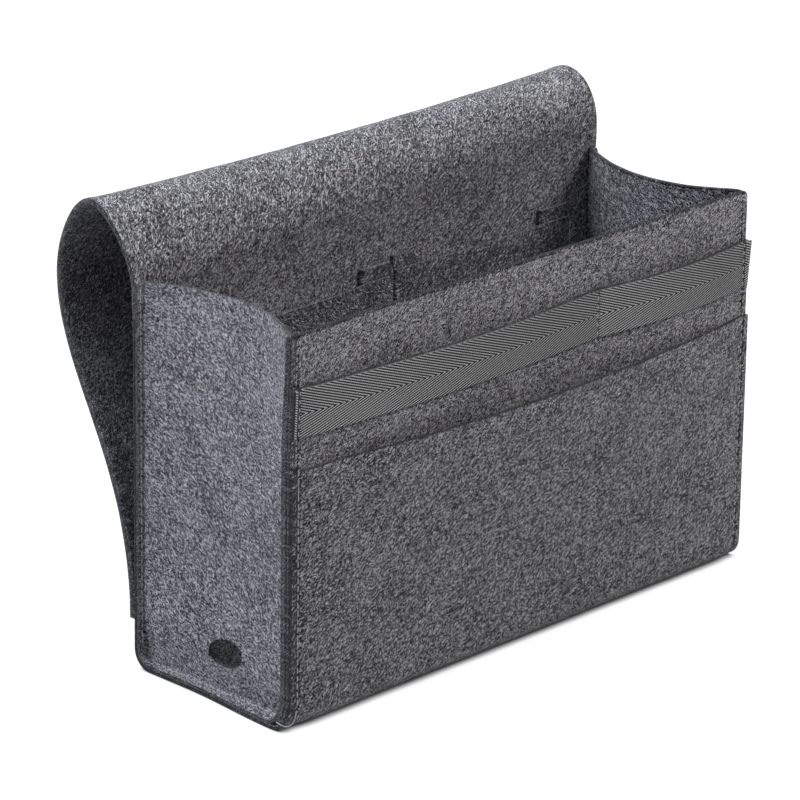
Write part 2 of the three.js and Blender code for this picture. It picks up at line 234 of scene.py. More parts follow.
def spread_foot(points):
    """Points with the left front foot spread outwards, as its thick seam stands on the floor."""
    x, y, z = points.T
    at_edge = ease(-x, half_length - foot_spread_width, half_length)
    low = 1 - ease(z, 0, foot_spread_height)
    near_front = 1 - ease(y - strip_front, *foot_spread_depth)
    return points - np.outer(foot_spread * at_edge * low * near_front, (1, 0, 0))


def groove(x):
    """Depth of the furrow that the side stitches pull into the felt."""
    return groove_depth * np.exp(-(((np.abs(x) - stitch_x) / groove_width) ** 2))


# Lines and places
class Line:
    """A line through points in a plane, read by the length along it."""

    def __init__(self, points):
        self.points = np.array(points)
        steps = np.linalg.norm(np.diff(self.points, axis=0), axis=1)
        self.lengths = np.concatenate([[0], np.cumsum(steps)])
        self.length = self.lengths[-1]

    def at(self, along):
        return tuple(np.interp(along, self.lengths, self.points[:, axis]) for axis in (0, 1))

    def left_of(self, along):
        """The direction square to the line, on its left."""
        reach = 0.05 * MM
        ahead, behind = self.at(along + reach), self.at(along - reach)
        run = np.stack([a - b for a, b in zip(ahead, behind)])
        run = run / np.linalg.norm(run, axis=0)
        return -run[1], run[0]


def arc(centre, radii, start, end, steps=40):
    angles = np.radians(np.linspace(start, end, steps))
    return [(centre[0] + radii[0] * math.cos(a), centre[1] + radii[1] * math.sin(a)) for a in angles]


def bezier(*corners, steps=80):
    t = np.linspace(0, 1, steps)[:, None]
    a, b, c, d = (np.array(corner) for corner in corners)
    curve = (1 - t) ** 3 * a + 3 * (1 - t) ** 2 * t * b + 3 * (1 - t) * t**2 * c + t**3 * d
    return [tuple(point) for point in curve]


def thinned(places):
    """Places without those that lie too close behind another."""
    return np.array([places[0]] + [b for a, b in zip(places, places[1:]) if b - a > air])


def stations(start, end, step, seams=()):
    """Places from start to end about a step apart, closer at both cut edges and beside each seam."""
    edges = (0, 0.6 * MM, 1.6 * MM)
    beside = (-2 * MM, -1.1 * MM, -0.5 * MM, 0, 0.5 * MM, 1.1 * MM, 2 * MM)
    fixed = [start + edge for edge in edges] + [end - edge for edge in edges]
    fixed += [seam + b for seam in seams for b in beside]
    fixed = sorted(place for place in fixed if start <= place <= end)
    places = []
    for here, there in zip(fixed, fixed[1:]):
        count = max(1, round((there - here) / step))
        places += list(np.linspace(here, there, count, endpoint=False))
    places.append(fixed[-1])
    return thinned(places)


def grid_of(across, along):
    """Both coordinates of every grid point, row by row."""
    s, t = np.meshgrid(across, along)
    return s.ravel(), t.ravel()


def grid_quads(rows, columns, flip=False):
    at = np.arange(rows * columns).reshape(rows, columns)
    quads = np.stack([at[:-1, :-1], at[:-1, 1:], at[1:, 1:], at[1:, :-1]], -1).reshape(-1, 4)
    return quads[:, ::-1] if flip else quads


def swelling(points, size, seed):
    """Slow unevenness of cut felt at each point, from about -1 to 1."""
    shift = Vector((seed * 3.7, seed * 1.3, seed * 2.1))
    return np.array([noise.noise(Vector(point) / size + shift) for point in points])


def uneven(points, quads, hold, seed):
    """Points moved in and out a little, as felt lies, except where hold is 1."""
    lift = 0
    for number, (height, width) in enumerate((slow_wave, quick_wave)):
        lift = lift + height * swelling(points, width, seed + number)
    return points + normals_of(points, quads) * (lift * (1 - hold))[:, None]


# Felt sheets: a middle surface of quads that gets two skins and a softly rounded cut edge
def normals_of(points, quads):
    a, b, c, d = (points[quads[:, corner]] for corner in range(4))
    facing = np.cross(c - a, d - b)
    total = np.zeros_like(points)
    for corner in range(4):
        np.add.at(total, quads[:, corner], facing)
    return total / np.maximum(np.linalg.norm(total, axis=1, keepdims=True), 1e-12)


def open_edges(quads):
    """The edges with a quad on one side only, each in the direction its quad runs."""
    runs = {}
    for quad in quads.tolist():
        for start, end in zip(quad, quad[1:] + quad[:1]):
            runs.setdefault((min(start, end), max(start, end)), []).append((start, end))
    return [found[0] for found in runs.values() if len(found) == 1]


def unit(vectors):
    return vectors / np.maximum(np.linalg.norm(vectors, axis=-1, keepdims=True), 1e-12)


def new_piece(name, points, faces, flat_places, cut_faces=0):
    """A smooth mesh with its place on the flat cloth; its last faces take the second material."""
    mesh = bpy.data.meshes.new(name)
    mesh.from_pydata(np.asarray(points).tolist(), [], faces)
    places = np.concatenate(flat_places).astype(np.float32)
    mesh.uv_layers.new(name="cloth").uv.foreach_set("vector", places.ravel())
    mesh.polygons.foreach_set("use_smooth", [True] * len(faces))
    mesh.polygons.foreach_set("material_index", [0] * (len(faces) - cut_faces) + [1] * cut_faces)
    mesh.set_sharp_from_angle(angle=math.radians(80))
    piece = bpy.data.objects.new(name, mesh)
    bpy.context.scene.collection.objects.link(piece)
    return piece


def sheet_piece(
    name, points, quads, cloth, half, sink=0.0, joined=False, edge_share=cut_share, bulge=cut_bulge
):
    """A closed sheet. cloth is each point's place on the flat cut, half its half thickness there,
    sink the depth pressed into the outer skin, and joined marks points where the cloth runs on."""
    number = len(points)
    given = (half, sink, joined, edge_share)
    half, sink, joined, edge_share = (np.broadcast_to(value, number).copy() for value in given)
    facing = normals_of(points, quads)
    edges = open_edges(quads)
    outward = np.zeros_like(points)
    for start, end in edges:
        away = unit(np.cross(points[end] - points[start], facing[start] + facing[end]))
        outward[start] += away
        outward[end] += away
    on_edge = np.zeros(number, bool)
    on_edge[np.array(edges).ravel()] = True
    half[on_edge & ~joined] *= edge_share[on_edge & ~joined]
    outer = points + facing * (half - sink)[:, None]
    inner = points - facing * half[:, None]
    rim_corners = np.flatnonzero(on_edge)
    rim_of = {int(corner): 2 * number + place for place, corner in enumerate(rim_corners)}
    reach = np.where(joined, 0, bulge)
    rim = points + unit(outward) * reach[:, None] - facing * (sink / 2)[:, None]

    faces = quads.tolist() + (quads[:, ::-1] + number).tolist()
    places = [cloth[quads].reshape(-1, 2), cloth[quads[:, ::-1]].reshape(-1, 2) + OTHER_SIDE]
    for start, end in edges:
        along = cloth[end] - cloth[start]
        out = unit(np.array([along[1], -along[0]])) * felt / 2
        faces.append([start, rim_of[start], rim_of[end], end])
        places.append(np.array([cloth[start], cloth[start] + out, cloth[end] + out, cloth[end]]))
        faces.append([rim_of[start], start + number, end + number, rim_of[end]])
        places.append(places[-1] + out)
    points = np.concatenate([outer, inner, rim[rim_corners]])
    return new_piece(name, points, faces, places, cut_faces=2 * len(edges))


# The main strip: low pocket, bottom, back and flap are one length of felt
def flap_skin(crest):
    """The strip's front skin from the back's foot over the crest to the tip of the flap."""
    apex_y, apex_z = back_inside + crest["setback"], crest_top - crest["drop"]
    tip_y = back_y + flap_rest_gap + felt
    rear_run, rear_drop = flap_back - apex_y, apex_z - flap_waist
    tail_drop = flap_waist - flap_tip
    skin = [(back_inside, fold_radius)]
    skin += bezier(
        (back_inside, crest["spring"]),
        (back_inside, crest["spring"] + crest["rise"]),
        (apex_y - crest["round"], apex_z),
        (apex_y, apex_z),
    )
    skin += bezier(
        (apex_y, apex_z),
        (apex_y + rear_handles[0] * rear_run, apex_z),
        (flap_back, apex_z - rear_handles[1] * rear_drop),
        (flap_back, flap_waist),
    )[1:]
    skin += bezier(
        (flap_back, flap_waist),
        (flap_back, flap_waist - tail_handles[0] * tail_drop),
        (tip_y, flap_tip + tail_handles[1] * tail_drop),
        (tip_y, flap_tip),
    )[1:]
    return np.array(skin)


def strip_middle(crest):
    """The middle of the strip seen from the end, from the low pocket's mouth to the flap's tip."""
    skin = flap_skin(crest)
    run = unit(np.gradient(skin, axis=0))
    middle = skin + felt / 2 * np.stack([run[:, 1], -run[:, 0]], -1)
    points = [(strip_front + felt / 2, low_mouth)]
    points += arc((strip_front + fold_radius, fold_radius), (fold_middle, fold_middle), 180, 270)
    points += arc((back_y - fold_radius, fold_radius), (fold_middle, fold_middle), 270, 360)
    return points + [tuple(point) for point in middle[1:]]


strip = Line(strip_middle(crest_right))
strip_lean = np.array(strip_middle(crest_left)) - strip.points
wall_end = low_mouth - fold_radius
bottom_end = wall_end + fold_quarter + back_y - strip_front - 2 * fold_radius
rim_at = bottom_end + fold_quarter + rim_height - fold_radius
crest_at = strip.lengths[np.argmax(strip.points[:, 1])]


# Shader maths
class Shade:
    """One output of a material's nodes, used in sums as if it were a number."""

    def __init__(self, tree, socket=None):
        self.tree = tree
        self.socket = socket

    def node(self, kind, settings=None, sockets=None, outlet=0):
        """Adds a node: its settings first, then the values or links of its sockets."""
        made = self.tree.nodes.new(kind)
        for key, value in (settings or {}).items():
            if key == "stops":
                self.set_stops(made.color_ramp.elements, value)
            else:
                setattr(made, key, value)
        for key, value in (sockets or {}).items():
            if isinstance(value, Shade):
                self.tree.links.new(value.socket, made.inputs[key])
            else:
                made.inputs[key].default_value = value
        return Shade(self.tree, made.outputs[outlet])

    @staticmethod
    def set_stops(ramp, stops):
        while len(ramp) < len(stops):
            ramp.new(0.5)
        for stop, (place, colour) in zip(ramp, stops):
            stop.position = place
            stop.color = (*colour, 1)

    def math(self, operation, *terms):
        return self.node("ShaderNodeMath", {"operation": operation}, dict(enumerate(terms)))

    def __add__(self, other):
        return self.math("ADD", self, other)

    def __radd__(self, other):
        return self.math("ADD", other, self)

    def __sub__(self, other):
        return self.math("SUBTRACT", self, other)

    def __rsub__(self, other):
        return self.math("SUBTRACT", other, self)

    def __mul__(self, other):
        return self.math("MULTIPLY", self, other)

    def __rmul__(self, other):
        return self.math("MULTIPLY", other, self)

    def step(self, start, end):
        """Rises smoothly from 0 to 1 as this value goes from start to end."""
        values = {"Value": self, "From Min": start, "From Max": end}
        return self.node("ShaderNodeMapRange", {"interpolation_type": "SMOOTHSTEP"}, values)

    def speckle(self, place, size, detail=2.0, rough=0.5, outlet=0):
        """Noise on a place given in millimetres, with blobs about a size across."""
        values = {"Vector": place, "Scale": 1 / size, "Detail": detail, "Roughness": rough}
        return self.node("ShaderNodeTexNoise", {"noise_dimensions": "2D"}, values, outlet)

    def cells(self, place):
        """An even random tone for each cell of a place given in cells."""
        settings = {"voronoi_dimensions": "2D", "feature": "F1"}
        return self.node("ShaderNodeTexVoronoi", settings, {"Vector": place, "Scale": 1.0}, "Color")

    def turned(self, place, angle, size, offset):
        """A place turned by an angle and measured in fibre lengths and fibre widths."""
        values = {
            "Vector": place,
            "Location": (offset, 1.7 * offset, 0),
            "Rotation": (0, 0, math.radians(angle)),
            "Scale": (*size, 1),
        }
        return self.node("ShaderNodeMapping", {"vector_type": "TEXTURE"}, values)


def new_material(name):
    material = bpy.data.materials.new(name)
    material.use_nodes = True
    shade = Shade(material.node_tree)
    flat = shade.node("ShaderNodeUVMap", {"uv_map": "cloth"})
    place = shade.node("ShaderNodeVectorMath", {"operation": "SCALE"}, {0: flat, "Scale": 1000.0})
    return material, shade, place


def finish_surface(material, colour, bump, **constants):
    """Links a colour and a bump to the material's surface and sets its constants."""
    surface = material.node_tree.nodes["Principled BSDF"]
    material.node_tree.links.new(colour.socket, surface.inputs["Base Color"])
    material.node_tree.links.new(bump.socket, surface.inputs["Normal"])
    for socket, value in constants.items():
        surface.inputs[socket.replace("_", " ")].default_value = value
    return material


# Felt and webbing, with sizes in millimetres
FIBRE_ANGLES = (12, 32, 52)
FIBRE_SIZE = (0.9, 0.36)
STRAND_SIZE = (1.5, 0.32)
STRAND_TURN = 4
GRAIN_ANGLE = 20
GRAIN_SIZE = (0.40, 0.30)
DRIFT_SIZE = 5.0
DRIFT_REACH = 2.2
CLOUD_SIZE = 5.0
PATCH_SIZE = 32.0
WARMTH_SIZE = 4.0
OTHER_FROM = (400, 402)
END_FROM = (35, 45)
FLOAT_SIZE = (1.1, 0.5)
PICK_PITCH = 1.25
DASH_PITCH = 1.3
COOL_FIBRES = (0.965, 0.995, 1.035, 1)
WARM_FIBRES = (1.035, 0.990, 0.985, 1)
FELT_TONES = (
    (0.0, (0.004, 0.004, 0.004)),
    (0.25, (0.030, 0.030, 0.031)),
    (0.5, (0.125, 0.124, 0.127)),
    (0.75, (0.320, 0.318, 0.324)),
    (1.0, (0.700, 0.698, 0.704)),
)
# Cut edges are far darker than the faces: partly the cut felt's own colour, partly painted shade in the gaps
# between layers, in the hole's cut wall and along the rims
CUT_TONES = (
    (0.0, (0.004, 0.004, 0.004)),
    (0.5, (0.032, 0.032, 0.033)),
    (1.0, (0.240, 0.238, 0.244)),
)
TAPE_TONES = (
    (0.0, (0.003, 0.003, 0.003)),
    (0.3, (0.020, 0.021, 0.020)),
    (0.7, (0.400, 0.405, 0.392)),
    (1.0, (0.800, 0.805, 0.785)),
)


def felt_fibres(shade, place):
    """A mat of crossing fibres, and the tones of that mat with its fine grain and its strands."""
    drift = shade.speckle(place, DRIFT_SIZE, detail=1.0, outlet=1)
    drift = shade.node("ShaderNodeVectorMath", {"operation": "SUBTRACT"}, {0: drift, 1: (0.5, 0.5, 0.5)})
    sums = {0: drift, 1: (DRIFT_REACH, DRIFT_REACH, 0.0), 2: place}
    bent = shade.node("ShaderNodeVectorMath", {"operation": "MULTIPLY_ADD"}, sums)
    mat = strands = 0.0
    for number, angle in enumerate(FIBRE_ANGLES):
        fibre = shade.cells(shade.turned(bent, angle, FIBRE_SIZE, 31.0 + 17 * number))
        strand = shade.cells(shade.turned(bent, angle + STRAND_TURN, STRAND_SIZE, 211.0 + 29 * number))
        mat = mat + (fibre - 0.5)
        strands = strands + 0.9 * strand.step(0.84, 0.92) - 0.3 * strand.step(0.16, 0.08)
    grain = shade.cells(shade.turned(place, GRAIN_ANGLE, GRAIN_SIZE, 57.0)) - 0.5
    return mat, 0.5 * mat + 0.8 * grain + strands


def felt_colour(shade, place, tones, tone):
    """The grey of each tone, tinted a little cool or warm in patches."""
    grey = shade.node("ShaderNodeValToRGB", {"stops": tones}, {"Fac": tone})
    warmth = shade.speckle(place, WARMTH_SIZE, detail=2.0).step(0.3, 0.7)
    tint = shade.node("ShaderNodeMix", {"data_type": "RGBA"}, {0: warmth, 6: COOL_FIBRES, 7: WARM_FIBRES}, 2)
    settings = {"data_type": "RGBA", "blend_type": "MULTIPLY"}
    return shade.node("ShaderNodeMix", settings, {0: 1.0, 6: grey, 7: tint}, 2)


def felt_material(
    name, tones, contrast, middle, mirrored=False,
    flap=0.0, crest=0.0, sides=0.0, top=0.0, fold=0.0, inner=0.0, rim=0.0,
):
    """Heathered needle felt: a mat of short fibres with a few light and dark strands and slow mottling.
    flap, crest, sides, top and fold are painted light: they make the flap, its upper face, the cloth past
    the side seams, the panels' tops and the bottom fold paler. inner and rim are painted shade: they make
    the ends' inner sides and the rims darker. The stitch furrows and the margin past the left seam get
    painted shade as well.
    mirrored turns the fibres of the near skin over, for cloth that runs downwards there."""
    material, shade, place = new_material(name)
    across = shade.node("ShaderNodeSeparateXYZ", {}, {0: place})
    along = shade.node("ShaderNodeSeparateXYZ", {}, {0: place}, 1)
    other = across.step(*OTHER_FROM)
    if mirrored:
        place = shade.node("ShaderNodeCombineXYZ", {}, {0: across, 1: along * (2.0 * other - 1.0)})
    mat, fibres = felt_fibres(shade, place)
    cloud = shade.speckle(place, CLOUD_SIZE, detail=4.0, rough=0.6)
    patch = shade.speckle(place, PATCH_SIZE, detail=1.0)
    across = across - OTHER_SIDE[0] / MM * other
    along = along - OTHER_SIDE[1] / MM * other
    on_flap = along.step((rim_at - seam_blend) / MM, rim_at / MM)
    from_seam = shade.math("ABSOLUTE", across) - stitch_x / MM
    # Painted shade: the felt is darkened along the stitch furrows and across the margin past the left seam
    seam = shade.math("ABSOLUTE", from_seam).step(2.0, 0.6)
    left_margin_shade = from_seam.step(-0.5, 0.5) * from_seam.step(6.0, 5.0) * across.step(1, -1)
    left_margin_shade = left_margin_shade * (1.0 - on_flap)
    seam = 1.2 * seam * (1.0 - on_flap) + 0.85 * left_margin_shade
    fibres = fibres * (contrast - contrast * (0.22 * on_flap + 0.25 * left_margin_shade))
    # Painted shade along the seams, and painted light from flap and crest, which make the flap and its upper
    # face paler
    tone = middle + fibres - 0.22 * seam + (flap + crest * other) * on_flap
    # Painted light: sides makes the cloth past the side seams paler
    past_seam = from_seam.step(2.2, 3.2) * (1.0 - on_flap)
    tone = tone + sides * past_seam
    edge = rim_height / MM
    far_edge = edge + OTHER_SIDE[1] / MM
    on_end = from_seam.step(*END_FROM)
    # Painted shade: inner darkens the end panels' inner sides
    inside = on_end * along.step(edge + 80, edge + 70)
    # Painted light: top makes the panels paler towards their tops
    tone = tone + top * along.step(0.3 * edge, edge) * (1.0 - on_end) - inner * inside
    tone = tone + top * along.step(far_edge - 0.7 * edge, far_edge) * on_end
    # Painted shade: rim darkens a narrow band along the top rims
    rim_shade = along.step(edge - 1.5, edge - 0.6) * along.step(edge + 4, edge + 3) * across.step(-210, -200)
    rim_shade = rim_shade * (1.0 - past_seam * from_seam.step(10, 9))
    bend = wall_end / MM
    # Painted light: fold makes the bottom fold paler, where it turns down from the light
    tone = tone + fold * along.step(bend, bend + 6) * along.step(bend + 30, bend + 20)
    tone = tone + 0.32 * (cloud - 0.5) + 0.22 * (patch - 0.5) - rim * rim_shade
    colour = felt_colour(shade, place, tones, tone)
    bump = shade.node("ShaderNodeBump", {}, {"Strength": 0.3, "Distance": 0.3 * MM, "Height": mat})
    soft = {"Sheen_Weight": 0.12, "Sheen_Roughness": 0.6}
    return finish_surface(material, colour, bump, Roughness=0.95, Specular_IOR_Level=0.15, **soft)


def webbing_material():
    """Herringbone tape: two stripes of twill lines that meet in chevrons along the middle."""
    material, shade, place = new_material("webbing_twill")
    along = shade.node("ShaderNodeSeparateXYZ", {}, {0: place}, 0)
    across = shade.node("ShaderNodeSeparateXYZ", {}, {0: place}, 1)
    climb = shade.math("ABSOLUTE", across) + twill_slope * along
    wave = shade.math("SINE", climb * (2 * math.pi * MM / twill_pitch)) * 0.5 + 0.5
    picks = shade.math("SINE", (along + 0.4 * across) * (2 * math.pi / PICK_PITCH)) * 0.5 + 0.5
    past_seam = shade.math("ABSOLUTE", along) - stitch_x / MM
    left_end = past_seam.step(0.0, 0.5) * along.step(1, -1)
    floats = shade.speckle(shade.turned(place, 0, FLOAT_SIZE, 5.0), 1.0, detail=1.0)
    seam_at, divide_at = stitch_x / MM, divide_x / MM
    # Painted shade: the tape darkens from the left seam towards the divide and from the divide towards the
    # right seam, where its bow turns it from the light
    bow_shade = along.step(-seam_at, divide_at) * along.step(divide_at + 0.5, divide_at)
    bow_shade = bow_shade + 1.2 * along.step(divide_at, seam_at)
    lines = wave.step(0.58, 0.88) * (0.78 + 0.22 * picks) * (1.0 - 0.17 * bow_shade)
    dashes = shade.math("SINE", (across + 0.5 * along) * (2 * math.pi / DASH_PITCH)).step(-0.2, 0.5)
    fringe = past_seam.step(1.8, 2.5) * past_seam.step(4.2, 3.7) * dashes
    lines = lines + left_end * (0.15 + 0.8 * fringe - lines)
    lines = lines + 0.3 * past_seam.step(1.0, 1.6) * along.step(-1, 1)
    # Painted shade: dark lines along the side seams and the divide, where the stitches pull the tape in
    seam = shade.math("ABSOLUTE", past_seam).step(0.9, 0.2)
    divide = shade.math("ABSOLUTE", along - divide_at).step(0.9, 0.3)
    tone = lines + (floats - 0.5) * 0.3 - 0.4 * seam - 0.35 * divide
    colour = shade.node("ShaderNodeValToRGB", {"stops": TAPE_TONES}, {"Fac": tone})
    bump = shade.node("ShaderNodeBump", {}, {"Strength": 0.5, "Distance": 0.2 * MM, "Height": floats})
    return finish_surface(material, colour, bump, Roughness=0.62, Specular_IOR_Level=0.3)


def thread_material(name, light):
    """Twisted sewing thread with fine slanting ply lines."""
    material, shade, place = new_material(name)
    settings = {"wave_type": "BANDS", "bands_direction": "DIAGONAL"}
    values = {"Vector": place, "Scale": 0.9, "Distortion": 1.5, "Detail": 1.0}
    ply = shade.node("ShaderNodeTexWave", settings, values, 1)
    tone = 0.6 * ply + 0.5 * shade.speckle(place, 1.3)
    dim = tuple(light * share for share in (0.45, 0.45, 0.46))
    bright = tuple(light * share for share in (1.25, 1.25, 1.27))
    colour = shade.node("ShaderNodeValToRGB", {"stops": ((0.1, dim), (0.95, bright))}, {"Fac": tone})
    bump = shade.node("ShaderNodeBump", {}, {"Strength": 0.6, "Distance": 0.1 * MM, "Height": ply})
    return finish_surface(material, colour, bump, Roughness=0.6)


# The flap, crest, sides, top and fold values below are painted light; the inner and rim values are painted
# shade
felt_face = felt_material(
    "felt_heather", FELT_TONES, 1.3, middle=0.447, mirrored=True, crest=0.035, fold=0.16
)
felt_panel = felt_material("felt_heather_panel", FELT_TONES, 1.3, middle=0.455, top=0.085, rim=0.4)
felt_end = felt_material("felt_heather_end", FELT_TONES, 1.3, middle=0.505, top=0.05, inner=0.045, rim=0.4)
# A darker copy of the felt for the inner pockets: painted shade, as they lie under the front rim
felt_inside = felt_material("felt_heather_inside", FELT_TONES, 1.0, middle=0.355)
felt_rim = felt_material("felt_pocket_rim", FELT_TONES, 0.6, middle=0.43)
felt_cut = felt_material("felt_cut_edge", CUT_TONES, 0.9, middle=0.28, flap=0.27, sides=0.26, rim=0.4)
tape = webbing_material()
thread = thread_material("seam_thread", 0.62)
loose_thread = thread_material("loose_thread", 0.62)


def dress(piece, materials, slot, *nodes):
    """Gives a finished piece its materials and hides the nodes that it stands for."""
    for material in materials:
        piece.data.materials.append(material)
    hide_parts(*nodes)
    return piece


# The main strip's two pieces, which meet on the crest
def low_pocket_bow(x, z):
    rise = np.clip((z - fold_radius) / (low_mouth - fold_radius), 0, 1)
    return low_bow * between(x, -flat_seam, flat_seam, 1.1) * rise**1.3


def strip_surface(x, t):
    """The strip's middle surface: the low pocket gapes, and its sides are pressed to the seams."""
    y, z = strip.at(t)
    left = (1 - x / half_length) / 2
    y = y + left * np.interp(t, strip.lengths, strip_lean[:, 0])
    z = z + left * np.interp(t, strip.lengths, strip_lean[:, 1])
    pressed_in = 2 * layer - felt / 2 - 1.5 * pocket_pressed - 2 * air
    on_front = 1 - ease(t, wall_end, wall_end + fold_quarter)
    y = y + on_front * (pressed_in * side_seam(x) - low_pocket_bow(x, z))
    near_left = 1 - ease(x + half_length, *mouth_dip_width)
    z = z - mouth_dip * near_left * (1 - ease(t, 0, mouth_dip_height))
    on_crest = ease(t, rim_at, crest_at) * (1 - ease(t, crest_at, crest_at + crest_sag_run))
    z = z - crest_sag * on_crest * between(x, -half_length, half_length, 1)
    return np.stack([x, y, z], -1)


def strip_piece(name, start, end, joined_at):
    across = stations(-half_length, half_length, felt_step, (-stitch_x, stitch_x))
    along = stations(start, end, strip_step)
    x, t = grid_of(across, along)
    quads = grid_quads(len(along), len(across), flip=True)
    sewn = side_seam(x) * (1 - ease(t, rim_at - seam_blend, rim_at + seam_blend))
    on_front = 1 - ease(t, wall_end, wall_end + fold_quarter)
    pressed = back_pressed + (pocket_pressed - back_pressed) * on_front
    points = spread_foot(uneven(strip_surface(x, t), quads, sewn, 1))
    half = (felt + (pressed - felt) * sewn) / 2
    on_flap = ease(t, rim_at - flap_blend, rim_at + flap_blend)
    fluffed = on_flap * ease(np.abs(x), half_length - fluff_width, half_length - fluff_flat)
    half = half * (1 + flap_edge_fluff * fluffed)
    cloth = np.stack([x, t], -1)
    share = cut_share + (flap_cut_share - cut_share) * on_flap
    return sheet_piece(name, points, quads, cloth, half, groove(x) * sewn, t == joined_at, share)


def make_strip():
    body = strip_piece("felt_strip", 0, crest_at, crest_at)
    flap = strip_piece("tuck_flap", crest_at, strip.length, crest_at)
    dress(body, (felt_face, felt_cut), "felt", "low_pocket", "bottom_panel", "back_panel")
    dress(flap, (felt_face, felt_cut), "felt", "flap_crest", "flap_tail")
    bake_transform(body)
    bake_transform(flap)


# Front panel and middle pocket
def upright_piece(name, surface, foot, mouth, pressed, seed, seams=()):
    """A felt sheet standing on the front, its outer skin towards the viewer."""
    across = stations(-half_length, half_length, felt_step, (-stitch_x, stitch_x, *seams))
    along = stations(foot, mouth, upright_step)
    x, z = grid_of(across, along)
    quads = grid_quads(len(along), len(across))
    level = z - rounded_corner(x, z)
    points = spread_foot(uneven(np.stack([x, surface(x, z), level], -1), quads, side_seam(x), seed))
    half = (felt + (pressed - felt) * side_seam(x)) / 2
    piece = sheet_piece(name, points, quads, np.stack([x, z], -1), half, groove(x))
    return piece


def corner_give(x, z):
    """How far the front stands forward at its upper left corner, and back where the bottom fold pushes."""
    lean = corner_lean * ease(z, low_mouth, rim_height) * (1 - ease(x, -half_length, corner_lean_end))
    below = np.clip((fold_radius - z) / (fold_middle - back_pressed / 2), 0, 1)
    inside = fold_radius - 2 * layer - (fold_middle - pocket_pressed) * np.sqrt(1 - below * below)
    return np.maximum(0, inside + pocket_pressed + 2 * air) - lean


def front_panel_middle(x, z):
    return front_y + (felt + (panel_pressed - felt) * side_seam(x)) / 2 + corner_give(x, z)


def mid_pocket_bow(x, z):
    rise = np.clip((z - panel_foot) / (mid_mouth - panel_foot), 0, 1)
    wide = mid_wide_bow * between(x, -flat_seam, divide_x, 1.2)
    narrow = mid_narrow_bow * between(x, divide_x, flat_seam, 1.2)
    return (wide + narrow) * rise**2


def mid_pocket_middle(x, z):
    loose = front_y - layer + felt / 2
    sewn = front_y - air - pocket_pressed / 2
    return loose + (sewn - loose) * side_seam(x) - mid_pocket_bow(x, z) + corner_give(x, z)


def make_front():
    panel = upright_piece("front_panel_felt", front_panel_middle, sheet_foot, rim_height, panel_pressed, 11)
    pocket = upright_piece(
        "mid_pocket_felt", mid_pocket_middle, sheet_foot, mid_mouth, pocket_pressed, 21, (divide_x,)
    )
    for piece, node in ((panel, "front_panel"), (pocket, "mid_pocket")):
        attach(dress(piece, (felt_panel, felt_cut), "felt", node), "caddy")


# Webbing with its chevron ribs
def tape_middle(x, z):
    sewn = side_seam(x)
    pocket_half = (felt + (pocket_pressed - felt) * sewn) / 2
    past_seam = ease(np.abs(x), stitch_x, half_length + tape_overhang)
    return mid_pocket_middle(x, z) - pocket_half - air - tape_thickness / 2 - tape_end_lift * past_seam


def make_webbing():
    reach = half_length + tape_overhang
    across = stations(-reach, reach, tape_step, (-stitch_x, divide_x, stitch_x))
    along = stations(tape_foot, mid_mouth, tape_row_step)
    x, z = grid_of(across, along)
    v = z - (tape_foot + mid_mouth) / 2
    ribs = 0.5 + 0.5 * np.sin((np.abs(v) + twill_slope * x) * 2 * math.pi / twill_pitch)
    ribs *= rib_height * ease(tape_width / 2 - np.abs(v), 0, rib_fade)
    quads = grid_quads(len(along), len(across))
    askew = tape_askew * (mid_mouth - z) / tape_width * ease(x, stitch_x, reach)
    points = np.stack([x - askew, tape_middle(x, z) - ribs / 2, z], -1)
    sink = groove(x) + groove_depth * np.exp(-(((x - divide_x) / groove_width) ** 2))
    half = (tape_thickness + ribs) / 2
    piece = sheet_piece("webbing_tape", points, quads, np.stack([x, v], -1), half, sink, bulge=tape_bulge)
    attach(dress(piece, (tape, tape), "webbing", "webbing_trim"), "caddy")


# End panels: a web that bows in at the top, its margins turned out on three sides
margin_front = front_y + panel_pressed + air + margin_pressed / 2
margin_foot = back_pressed + air + margin_pressed / 2
margin_back = back_y - back_pressed - air - margin_pressed / 2


def margin_points():
    radii = (margin_radius, margin_radius)
    low = margin_foot + margin_radius
    points = [(margin_front, rim_height)]
    points += arc((margin_front + margin_radius, low), radii, 180, 270)
    points += arc((margin_back - margin_radius, low), radii, 270, 360)
    return points + [(margin_back, rim_height)]


margin = Line(margin_points())
corner_at = rim_height - margin_foot - margin_radius + margin_radius * math.pi / 4


def web_at(y, z, side):
    """How far inside the end's edge the middle of its web lies."""
    share = ease(y, margin_front, margin_back)
    offset = felt / 2 + front_margin + (back_margin - front_margin) * share
    near_front = 1 - ease(y, margin_front, margin_front + corner_flare_depth)
    flare = corner_flare * near_front * ease(z, corner_flare_foot, rim_height)
    rise = np.clip((z - margin_foot) / (rim_height - margin_foot), 0, 1)
    inset = foot_inset * (1 - ease(z, margin_foot, margin_foot + foot_inset_rise))
    return offset - flare + inset + end_bow[side] * between(y, margin_front, margin_back, 1) * rise**2


class Patch:
    """Points, places on the flat cloth and quads of one sheet, gathered a part at a time."""

    def __init__(self):
        self.points, self.cloth, self.quads = [], [], []

    def add(self, points, cloth):
        """Adds points and returns their numbers."""
        first = len(self.points)
        self.points += [tuple(point) for point in points]
        self.cloth += [tuple(place) for place in cloth]
        return np.arange(first, len(self.points))

    def join(self, here, there):
        """Quads between two rows of point numbers."""
        self.quads += [list(quad) for quad in zip(here[:-1], here[1:], there[1:], there[:-1])]


